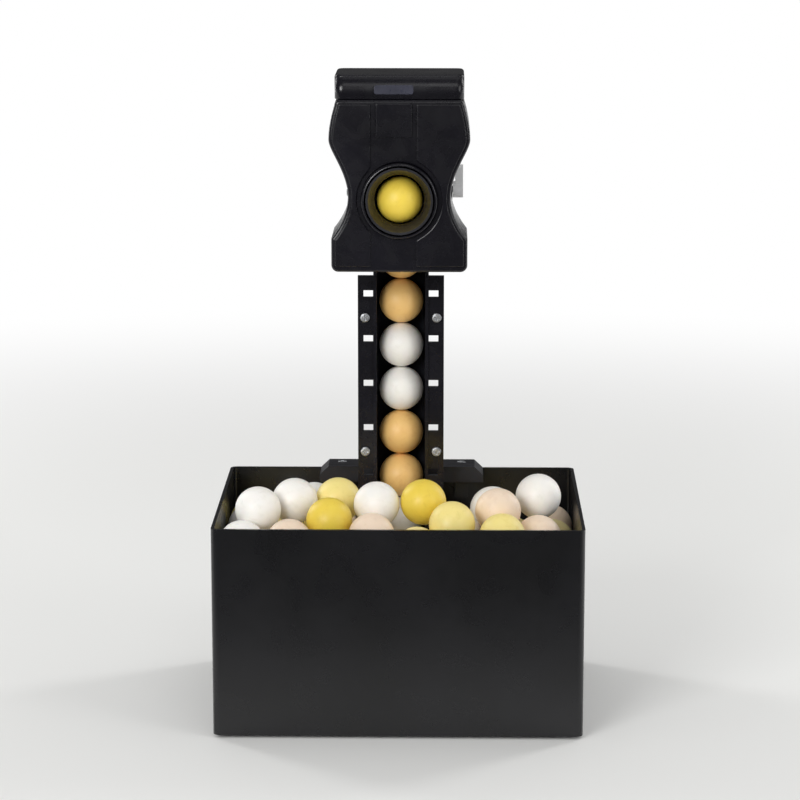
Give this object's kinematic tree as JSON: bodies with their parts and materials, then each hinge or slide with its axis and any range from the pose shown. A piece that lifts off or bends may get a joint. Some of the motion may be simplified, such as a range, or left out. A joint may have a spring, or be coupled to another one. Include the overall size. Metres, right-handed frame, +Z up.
{
  "type": "table tennis robot",
  "caption": "Free-standing table tennis robot: open ball box with a feed wheel, a slotted ball column and a wheel-driven launching head that sweeps, tilts and turns.",
  "frame": {"origin": "on the surface that the robot stands on, under the middle of the ball box", "axes": "+Z up, -Y towards the player (the way the nozzle shoots), +X to the right seen from the front"},
  "size_m": [0.318, 0.24, 0.5628],
  "materials": {
    "casing_black": "glossy moulded",
    "box_black": "satin moulded",
    "trim_black": "fine grain",
    "part_grey": "fine grain",
    "foot_rubber": "matt",
    "wheel_foam": "foam",
    "white_nylon": "smooth",
    "screw_steel": "bright",
    "motor_steel": "drawn can",
    "lever_grey": "satin",
    "circuit_green": "lacquered",
    "socket_black": "smooth",
    "ball_yellow": "celluloid",
    "ball_orange": "celluloid",
    "ball_white": "celluloid",
    "ball_cream": "celluloid"
  },
  "bodies": {
    "base": {"ball_box": "box_black", "bottom_cover": "part_grey", "foot_1": "foot_rubber", "foot_2": "foot_rubber", "foot_3": "foot_rubber", "foot_4": "foot_rubber", "hopper_floor": "box_black", "feed_race": "part_grey", "feed_gearmotor": "motor_steel", "column_trough": "trim_black", "column_face": "casing_black", "column_screw_1": "screw_steel", "column_screw_2": "screw_steel", "column_screw_3": "screw_steel", "column_screw_4": "screw_steel", "rim_saddle": "trim_black", "saddle_screw_left": "screw_steel", "saddle_screw_right": "screw_steel", "turret_plate": "part_grey", "sweep_gearmotor": "motor_steel", "power_socket": "socket_black", "control_socket": "socket_black", "switch_frame": "socket_black", "circuit_board": "circuit_green", "column_ball_1": "ball_yellow", "column_ball_2": "ball_white", "column_ball_3": "ball_orange", "column_ball_4": "ball_orange", "column_ball_5": "ball_white", "column_ball_6": "ball_white", "column_ball_7": "ball_orange", "column_ball_8": "ball_orange", "ball_heap_front": "ball_cream", "ball_heap_left": "ball_white", "ball_heap_right": "ball_white"},
    "feed_wheel": {"feed_wheel": "white_nylon", "feed_axle": "screw_steel"},
    "turret": {"turret_gear": "white_nylon", "elbow_duct": "trim_black", "turret_yoke": "trim_black", "tilt_pin": "screw_steel"},
    "sweep_pinion": {"sweep_pinion": "screw_steel"},
    "cradle": {"tilt_cradle": "part_grey"},
    "tilt_lever": {"tilt_lock_lever": "lever_grey"},
    "spin_knob": {"spin_lock_knob": "trim_black"},
    "head": {"head_front_shell": "casing_black", "head_rear_shell": "casing_black", "head_top_cap": "casing_black", "nozzle_barrel": "trim_black", "inlet_spigot": "part_grey", "spigot_clip": "screw_steel", "upper_motor": "motor_steel", "lower_motor": "motor_steel", "nozzle_ball": "ball_yellow"},
    "upper_wheel": {"upper_wheel_hub": "white_nylon", "upper_wheel_tyre": "wheel_foam"},
    "lower_wheel": {"lower_wheel_hub": "white_nylon", "lower_wheel_tyre": "wheel_foam"},
    "switch": {"switch_rocker": "socket_black"}
  },
  "joints": [
    {"name": "feed_turn", "type": "hinge", "parent": "base", "child": "feed_wheel", "pos_m": [0, 0.0425, 0.068], "axis": [1, 0, 0], "continuous": true},
    {"name": "head_sweep", "type": "hinge", "parent": "base", "child": "turret", "pos_m": [0, 0.075, 0.39], "axis": [0, 0, 1], "range_deg": [-25, 25]},
    {"name": "sweep_pinion_turn", "type": "hinge", "parent": "base", "child": "sweep_pinion", "pos_m": [0, 0.1115, 0.39], "axis": [0, 0, 1], "range_deg": [-125, 125]},
    {"name": "head_tilt", "type": "hinge", "parent": "turret", "child": "cradle", "pos_m": [0, 0.038, 0.455], "axis": [-1, 0, 0], "range_deg": [-10, 30]},
    {"name": "head_spin", "type": "hinge", "parent": "cradle", "child": "head", "pos_m": [0, 0, 0.455], "axis": [0, 1, 0], "range_deg": [-90, 90]},
    {"name": "tilt_lever_turn", "type": "hinge", "parent": "cradle", "child": "tilt_lever", "pos_m": [0.05, 0.038, 0.455], "axis": [-1, 0, 0], "range_deg": [0, 90]},
    {"name": "spin_knob_turn", "type": "hinge", "parent": "cradle", "child": "spin_knob", "pos_m": [0, 0.04, 0.504], "axis": [0, 1, 0], "range_deg": [0, 270]},
    {"name": "upper_wheel_turn", "type": "hinge", "parent": "head", "child": "upper_wheel", "pos_m": [0, 0, 0.494], "axis": [1, 0, 0], "continuous": true},
    {"name": "lower_wheel_turn", "type": "hinge", "parent": "head", "child": "lower_wheel", "pos_m": [0, 0, 0.416], "axis": [1, 0, 0], "continuous": true},
    {"name": "switch_rock", "type": "hinge", "parent": "base", "child": "switch", "pos_m": [-0.105, 0.113, 0.042], "axis": [1, 0, 0], "range_deg": [-7, 7]}
  ],
  "couplings": [
    {"joint": "sweep_pinion_turn", "follows": "head_sweep", "ratio": -4.8}
  ]
}
